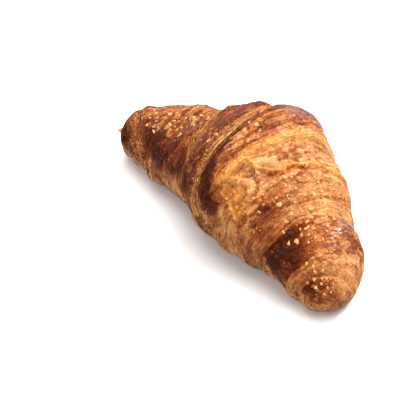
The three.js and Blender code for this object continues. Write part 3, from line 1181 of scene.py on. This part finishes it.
def makeCrustMaterial(uneven, veins, plates, layered):
    material, tree, shader = newMaterial("bakedCrust")
    here = addNode(tree, "ShaderNodeTexCoord").outputs["Object"]

    def mapped(name, output="Fac"):
        return addNode(tree, "ShaderNodeAttribute", attribute_name=name).outputs[output]

    def grouped(group, inputs):
        return addNode(tree, "ShaderNodeGroup", inputs, node_tree=group).outputs

    def unevenAt(place, scale, fine):
        return grouped(uneven, {"Place": place, "Scale": scale, "Fine": fine})["Value"]

    def alongTurns(scale):
        place = mapped("turnPlace", "Vector")
        return addNode(tree, "ShaderNodeMapping", {"Vector": place, "Scale": scale}).outputs[0]

    def times(first, second):
        return addMath(tree, "MULTIPLY", first, second)

    def plus(total, value, amount):
        return addMath(tree, "MULTIPLY_ADD", value, amount, total)

    def plusAll(total, values, amounts):
        for name, amount in amounts.items():
            total = plus(total, values[name], amount)
        return total

    def centred(value):
        return addMath(tree, "SUBTRACT", value, 0.5)

    def rest(value):
        return addMath(tree, "SUBTRACT", 1.0, value)

    def over(value, low, high):
        # From 0 at low to 1 at high
        return addMath(tree, "DIVIDE", addMath(tree, "SUBTRACT", value, low), high - low, clamp=True)

    # The bake map holds the baking and the painted shade in sunk places
    bake, shown, glazed = mapped("bake"), mapped("layerShown"), mapped("glazed")
    amber, light = mapped("amber"), mapped("light")
    wrapped = alongTurns((0.62, 0.2, 0.2))
    medium = times(unevenAt(here, 480.0, 0.7), 0.45)
    medium = plus(medium, unevenAt(wrapped, 1.0, 0.5), 0.55)
    grain = unevenAt(here, 1300.0, 0.6)
    # Spots that darken as pits on bare dough, and that are painted pale on the glaze as glints in place
    # of highlights
    flecks = over(unevenAt(here, 420.0, 1.1), 0.58, 0.74)
    streaks = addNoise(tree, alongTurns((0.8, 0.04, 0.04)), 1.0, 2.0)["Fac"]
    wobble = times(centred(streaks), 0.5)
    edge = grouped(layered, {"Layer": mapped("layer"), "Wobble": wobble, "Gap Width": 0.24})
    skin = grouped(plates, {"Place": wrapped, "Scale": 0.8})
    lines = grouped(veins, {"Place": here, "Scale": 230.0, "Width": 0.035})["Lines"]
    parts = {
        "patches": centred(unevenAt(here, 170.0, 0.6)),
        "streaks": centred(streaks),
        "veins": times(lines, glazed),
        "pits": times(flecks, rest(glazed)),
        "plates": times(centred(skin["Tone"]), rest(shown)),
        "plateEdges": times(skin["Edge"], rest(shown)),
        "layers": times(centred(edge["Tone"]), shown),
        # painted shade in the gap under each layer
        "gaps": times(edge["Gap"], shown),
        # painted glints on the glaze, fewer where it is dark
        "flecks": times(times(flecks, over(bake, 0.75, 0.4)), glazed),
    }

    # How baked it is, uneven in patches, specks and streaks that run with the turns. The bake map and
    # the gaps under the layers also bring painted shade.
    swing = plusAll(bake, parts, crust["bakes"])
    for value, (onBare, onGlazed) in ((medium, crust["medium"]), (grain, crust["grain"])):
        amount = addMath(tree, "MULTIPLY_ADD", glazed, onGlazed - onBare, onBare)
        swing = plus(swing, centred(value), amount)
    baked = (addRamp(tree, swing, crust[name]) for name in ("bare", "glazed"))
    baked = addMix(tree, glazed, *baked)

    # Amber where the skin is thin and glassy, pale where it has bubbled, with painted light on the
    # bubble tops and painted highlights on the rims, and painted glints: pale specks in place of
    # highlights on the glaze
    tints = {
        "amber": times(amber, over(medium, 0, 0.4)),
        "light": times(light, over(medium, 0.3, 0.62)),
        "fleck": parts["flecks"],
    }
    for name, amount in tints.items():
        baked = addMix(tree, times(amount, crust["tints"][name]), baked, crust[name])

    finish = crust["roughness"]
    rough = addMath(tree, "MULTIPLY_ADD", glazed, finish["glazed"] - finish["bare"], finish["bare"])
    rough = plus(rough, centred(medium), finish["uneven"])
    coat = crust["coat"]
    weight = addMath(tree, "MULTIPLY_ADD", mapped("satin"), coat["satin"], coat["everywhere"])

    # The fine bumps are calmer on glassy skin and on cut layers
    calm = addMath(tree, "MULTIPLY_ADD", shown, -0.5, 1.0)
    calm = addMath(tree, "MULTIPLY_ADD", amber, -0.9, calm, clamp=True)
    height = times(plus(times(medium, 0.9), grain, 0.45), calm)
    height = plusAll(height, parts, crust["bumps"])
    bump = addNode(tree, "ShaderNodeBump", {"Height": height} | crust["bump"]).outputs["Normal"]
    setInputs(tree, shader, {
        "Base Color": baked, "Roughness": rough, "Normal": bump, "Coat Weight": times(glazed, weight),
    } | crust["sheen"])
    return material


sugarFinish = {
    "pale": colour(212, 154, 98),
    "toasted": colour(168, 100, 52),
    "patches": {"Scale": 260.0, "Fine": 0.8},
    "roughness": 0.3,
    "bump": {"Strength": 0.5, "Distance": 0.0004},
}


def makeSugarMaterial(uneven):
    material, tree, shader = newMaterial("toastedSugar")
    here = addNode(tree, "ShaderNodeTexCoord").outputs["Object"]
    inputs = {"Place": here} | sugarFinish["patches"]
    patchy = addNode(tree, "ShaderNodeGroup", inputs, node_tree=uneven).outputs["Value"]
    amount = addMath(tree, "MULTIPLY", addMath(tree, "SUBTRACT", patchy, 0.4), 3.5, clamp=True)
    shade = addMix(tree, amount, sugarFinish["pale"], sugarFinish["toasted"])
    bump = addNode(tree, "ShaderNodeBump", {"Height": patchy} | sugarFinish["bump"]).outputs["Normal"]
    inputs = {"Base Color": shade, "Roughness": sugarFinish["roughness"], "Normal": bump}
    setInputs(tree, shader, inputs)
    return material


# The floor is wide enough to fill the view
floorForm = {"reach": 3, "finish": {"Base Color": colour(246, 246, 245), "Roughness": 0.9}}


def makeFloor():
    bm = bmesh.new()
    bmesh.ops.create_grid(bm, x_segments=1, y_segments=1, size=floorForm["reach"])
    floor = madeSmooth(bm, "floor")
    material, tree, shader = newMaterial("paleFloor")
    setInputs(tree, shader, floorForm["finish"])
    floor.data.materials.append(material)
    floor.visible_glossy = False


# The camera looks down on the inner side, and the light comes from beyond on the right
view = {
    "azimuth": 51.1, "elevation": 43.0, "distance": 0.776, "lens": 137.9, "sensor": 36, "near": 0.01,
    "lookAt": Vector((1.03, -28, 19.4)) * mm,
}
# Angles in degrees, distance and size in metres, power in watts
lights = rows(
    "name azimuth elevation distance size power gloss",
    ("above", 190, 81, 1.2, 1.5, 25, False),
    ("window", 178, 54, 1.1, 0.4, 12, True),
    ("low", 192, 22, 1.2, 0.8, 4, True),
    ("fill", 10, 35, 1.2, 1.0, 4.5, False),
)
background = {"Color": (1, 1, 1, 1), "Strength": 0.5}


def directionOf(azimuth, elevation):
    # From the object towards a viewer: azimuth 0 stands on the -Y side, 90 on the +X side
    a, e = math.radians(azimuth), math.radians(elevation)
    return Vector((math.sin(a) * math.cos(e), -math.cos(a) * math.cos(e), math.sin(e)))


def makeCamera():
    camera = bpy.data.objects.new("camera", bpy.data.cameras.new("camera"))
    back = directionOf(view["azimuth"], view["elevation"])
    camera.location = view["lookAt"] + back * view["distance"]
    camera.rotation_euler = back.to_track_quat("Z", "Y").to_euler()
    camera.data.lens = view["lens"]
    camera.data.sensor_width = view["sensor"]
    camera.data.clip_start = view["near"]
    scene.collection.objects.link(camera)
    scene.camera = camera


def makeLights():
    for setting in lights:
        lamp = bpy.data.lights.new(setting["name"], "AREA")
        lamp.shape = "DISK"
        lamp.size = setting["size"]
        lamp.energy = setting["power"]
        light = bpy.data.objects.new(setting["name"], lamp)
        back = directionOf(setting["azimuth"], setting["elevation"])
        light.location = back * setting["distance"]
        light.rotation_euler = back.to_track_quat("Z", "Y").to_euler()
        light.visible_glossy = setting["gloss"]
        scene.collection.objects.link(light)
    world = bpy.data.worlds.new("studio")
    world.use_nodes = True
    setInputs(world.node_tree, world.node_tree.nodes["Background"], background)
    scene.world = world
    scene.view_settings.view_transform = "Standard"


makeCamera()
makeLights()
makeFloor()
print("stage: camera,", len(lights), "lights and floor")
uneven = makeUnevenGroup()
veins = makeVeinGroup()
plates = makePlateGroup()
layered = makeLayerGroup()

crustMaterial = makeCrustMaterial(uneven, veins, plates, layered)
print("finish:", len(bpy.data.node_groups), "shader groups and the crust")
doughPiece, laid = makeDough()
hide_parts("croissant")

shape = bmesh.new()
shape.from_mesh(doughPiece.data)
surface = BVHTree.FromBMesh(shape)
shape.free()

pieces = (
    (doughPiece, crustMaterial),
    (makeSugar(surface), makeSugarMaterial(uneven)),
    (makeFlakes(surface, laid), crustMaterial),
    (makeTornEdges(surface, laid), crustMaterial),
    (makeCrumbs(surface, laid), crustMaterial),
    (makeScrap(surface, laid), crustMaterial),
)
for piece, material in pieces:
    piece.data.materials.append(material)
    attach(piece, "root")
